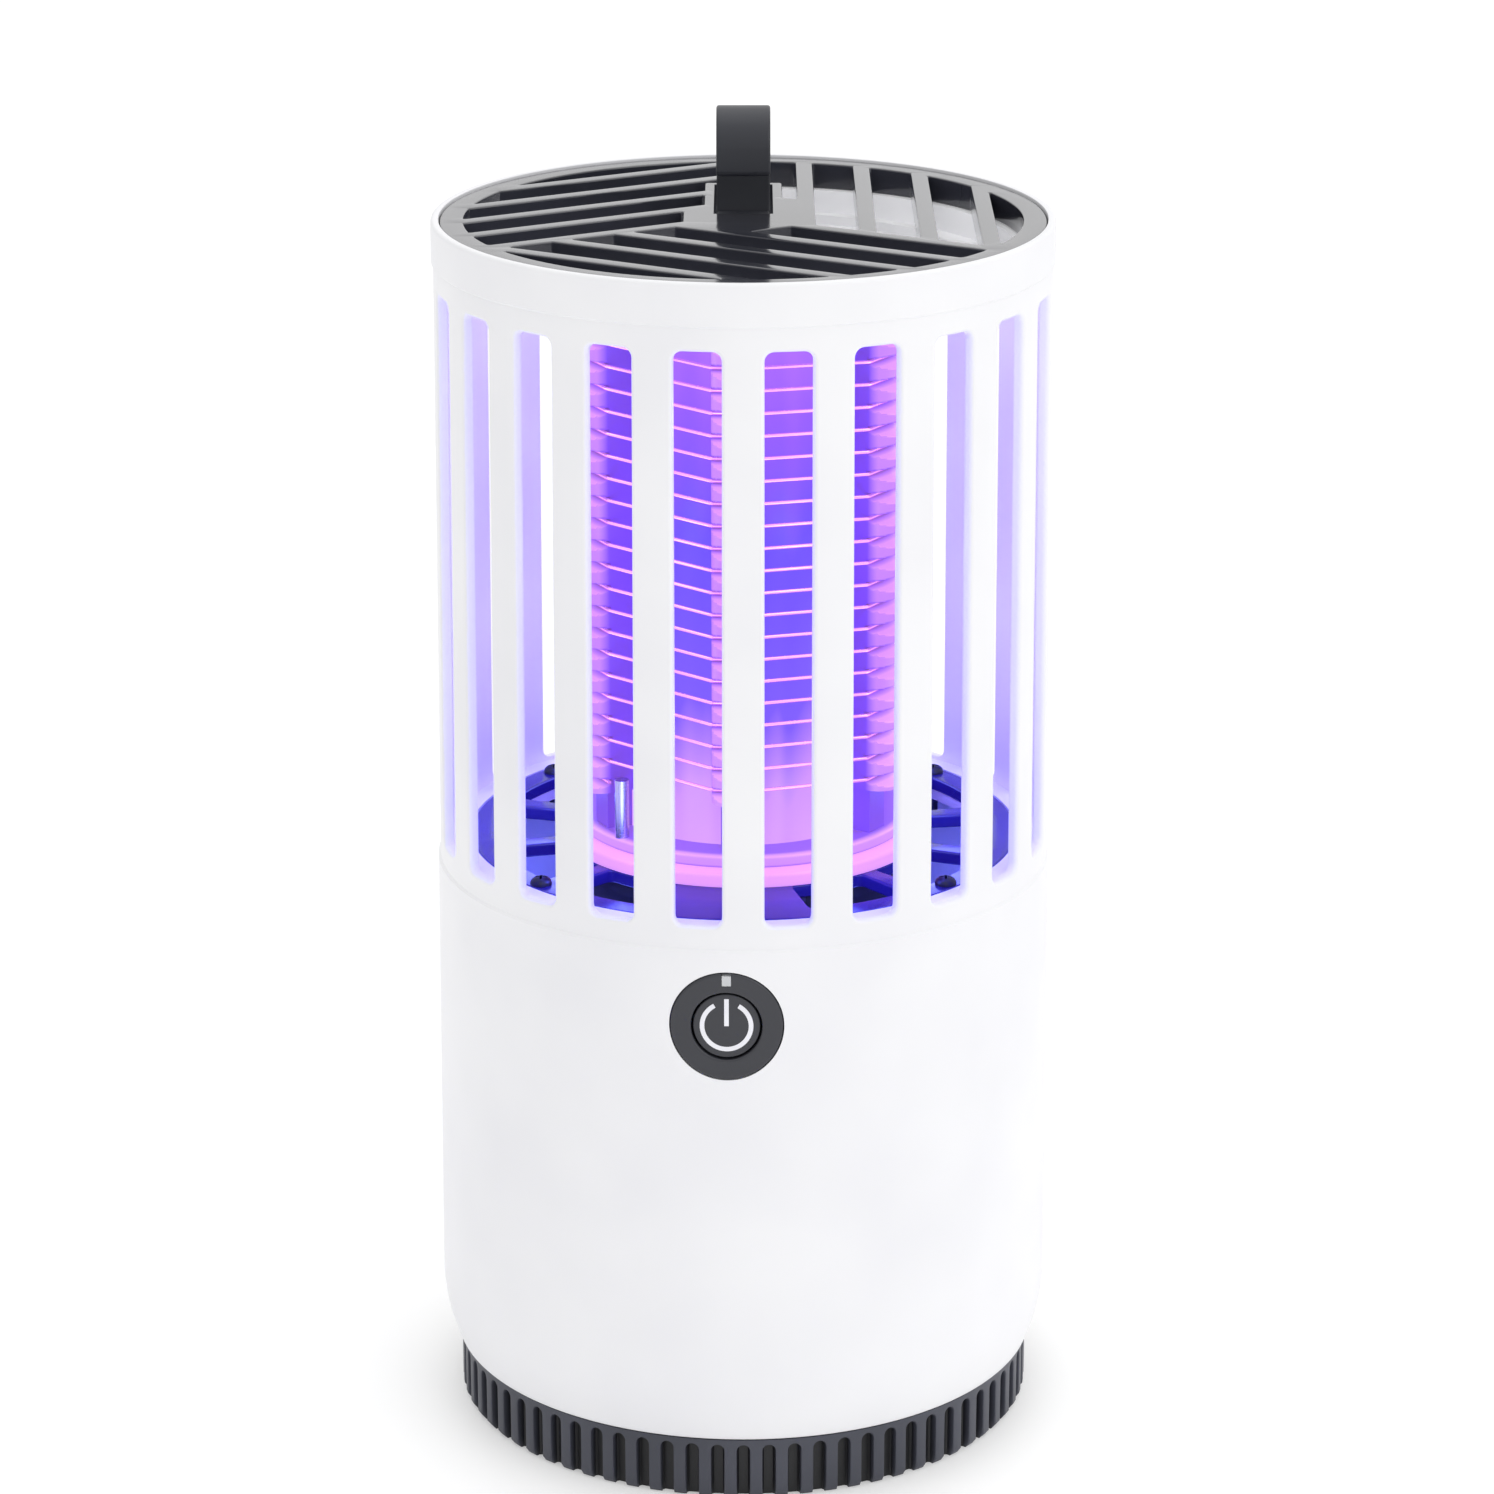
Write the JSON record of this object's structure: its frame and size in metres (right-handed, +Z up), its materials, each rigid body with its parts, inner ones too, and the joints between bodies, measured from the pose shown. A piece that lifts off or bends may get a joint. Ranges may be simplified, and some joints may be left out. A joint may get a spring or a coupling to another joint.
{
  "type": "electric bug zapper",
  "caption": "Rechargeable electric bug zapper: round white housing with upright windows round a lit high-voltage grid, fold-down hook, push button and twist-off insect tray.",
  "frame": {"origin": "on the table, at the middle of the base, on the drum's axis", "axes": "+Z up along the drum's axis, -Y towards the front with the power button, +X to the right"},
  "size_m": [0.105, 0.105, 0.226],
  "materials": {
    "white_abs": "satin moulded white ABS",
    "grey_abs": "satin grey ABS",
    "dark_abs": "dark grey moulded plastic",
    "button_grey": "fine textured dark grey plastic",
    "symbol_white": "white inlay",
    "lamp_white": "white plastic lit by the lamp",
    "comb_clear": "pale insulating plastic, lit violet",
    "tube_violet": "frosted light tube, glowing violet",
    "deck_navy": "dark glossy plastic",
    "steel": "zinc-plated steel",
    "wire_steel": "bright stainless wire",
    "pcb_green": "solder-masked circuit board",
    "pcb_white": "white solder-masked circuit board",
    "uv_led": "glowing violet diode",
    "component_black": "moulded component cases",
    "winding": "ferrite and copper winding",
    "capacitor_film": "dipped film capacitor",
    "cell_wrap": "shrink-wrapped steel cell",
    "lead_pvc": "PVC insulated lead",
    "rubber_grey": "soft grey rubber",
    "pad_rubber": "black rubber",
    "light_pipe": "clear frosted acrylic"
  },
  "bodies": {
    "body": {"housing": "white_abs", "top_grille": "grey_abs", "hook_pin": "steel", "lamp_cap": "lamp_white", "cap_screws": "steel", "comb_frame": "comb_clear", "grid_wire_a": "wire_steel", "grid_wire_b": "wire_steel", "grid_terminals": "steel", "light_tube": "tube_violet", "uv_led_board": "pcb_white", "uv_leds": "uv_led", "lamp_disc": "lamp_white", "disc_screws": "steel", "drop_deck": "deck_navy", "deck_screws": "steel", "core_housing": "dark_abs", "core_cover": "dark_abs", "cover_screws": "steel", "battery_cell": "cell_wrap", "battery_cradle": "dark_abs", "main_board": "pcb_green", "board_parts": "component_black", "hv_transformer": "winding", "storage_capacitors": "capacitor_film", "battery_leads": "lead_pvc", "lamp_leads": "lead_pvc", "grid_leads": "lead_pvc", "switch_leads": "lead_pvc", "button_bezel": "button_grey", "push_switch": "component_black", "switch_board": "pcb_green", "status_led": "light_pipe", "status_light_pipe": "light_pipe", "charging_inlet": "steel", "charge_board": "pcb_green"},
    "hook": {"hook": "dark_abs"},
    "power_button": {"button_cap": "button_grey", "power_symbol": "symbol_white", "switch_plunger": "component_black"},
    "inlet_cover": {"inlet_flap": "rubber_grey"},
    "tray": {"collection_tray": "dark_abs", "foot_pads": "pad_rubber"},
    "tray_lock": {"lock_ring": "dark_abs"}
  },
  "joints": [
    {"name": "hook_fold", "type": "hinge", "parent": "body", "child": "hook", "pos_m": [0, 0.005, 0.206], "axis": [-1, 0, 0], "range_deg": [0, 90]},
    {"name": "button_press", "type": "slide", "parent": "body", "child": "power_button", "axis": [0.0523, 0.9986, 0], "range_m": [0, 0.0009], "stiffness_N_per_m": 900, "springref_m": -0.0008},
    {"name": "flap_open", "type": "hinge", "parent": "body", "child": "inlet_cover", "pos_m": [0.00267, 0.05094, 0.0915], "axis": [0.9986, -0.0523, 0], "range_deg": [0, 95], "stiffness_Nm_per_rad": 0.002},
    {"name": "tray_drop", "type": "slide", "parent": "body", "child": "tray", "axis": [0, 0, -1], "range_m": [0, 0.03]},
    {"name": "lock_turn", "type": "hinge", "parent": "tray", "child": "tray_lock", "pos_m": [0, 0, 0.006], "axis": [0, 0, 1], "range_deg": [0, 50]}
  ]
}
